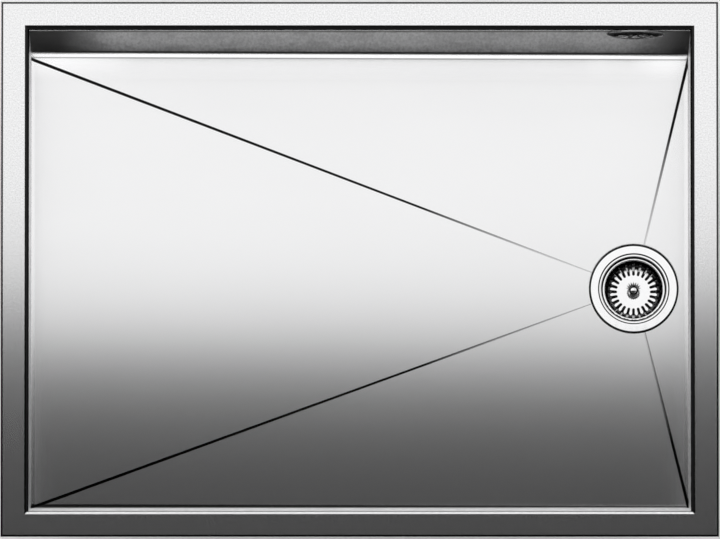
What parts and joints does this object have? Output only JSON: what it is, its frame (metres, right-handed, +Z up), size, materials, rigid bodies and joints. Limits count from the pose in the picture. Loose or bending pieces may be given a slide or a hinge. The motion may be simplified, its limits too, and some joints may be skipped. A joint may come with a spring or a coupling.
{
  "type": "kitchen sink",
  "caption": "Single-bowl stainless steel kitchen sink with flat rim, creased sloping floor, overflow and offset drain; its basket strainer lifts out.",
  "frame": {"origin": "centre of the rim's outer rectangle, in the plane of the rim's top face", "axes": "+X to the right, the drain's side; +Y to the rear, the overflow's side; +Z up, out of the bowl"},
  "size_m": [0.762, 0.572, 0.3025],
  "materials": {
    "satin_steel": "fine satin, slightly grainy",
    "brushed_steel": "brushed left to right",
    "polished_steel": "polished stainless steel",
    "seal_rubber": "matt black",
    "waste_plastic": "moulded, matt black",
    "mat_rubber": "matt dark grey mat"
  },
  "bodies": {
    "sink": {"rim_frame": "satin_steel", "wall_left": "brushed_steel", "wall_right": "brushed_steel", "wall_rear": "brushed_steel", "wall_front": "brushed_steel", "floor_pan": "brushed_steel", "strainer_cup": "polished_steel", "cup_screw": "polished_steel", "overflow_cover": "polished_steel", "overflow_screw": "polished_steel", "flange_seal": "seal_rubber", "body_gasket": "seal_rubber", "overflow_seal": "seal_rubber", "pipe_seal_upper": "seal_rubber", "pipe_seal_lower": "seal_rubber", "waste_body": "waste_plastic", "overflow_housing": "waste_plastic", "overflow_pipe": "waste_plastic", "pipe_nut_upper": "waste_plastic", "pipe_nut_lower": "waste_plastic", "mat_left": "mat_rubber", "mat_right": "mat_rubber", "mat_rear": "mat_rubber", "mat_front": "mat_rubber", "mat_floor_left": "mat_rubber", "mat_floor_front": "mat_rubber", "mat_floor_rear": "mat_rubber"},
    "basket": {"basket": "polished_steel", "basket_knob": "polished_steel", "basket_post": "polished_steel", "basket_stopper": "seal_rubber", "post_nut": "polished_steel"}
  },
  "joints": [
    {"name": "basket_lift", "type": "slide", "parent": "sink", "child": "basket", "axis": [0, 0, 1], "range_m": [0, 0.275]}
  ]
}
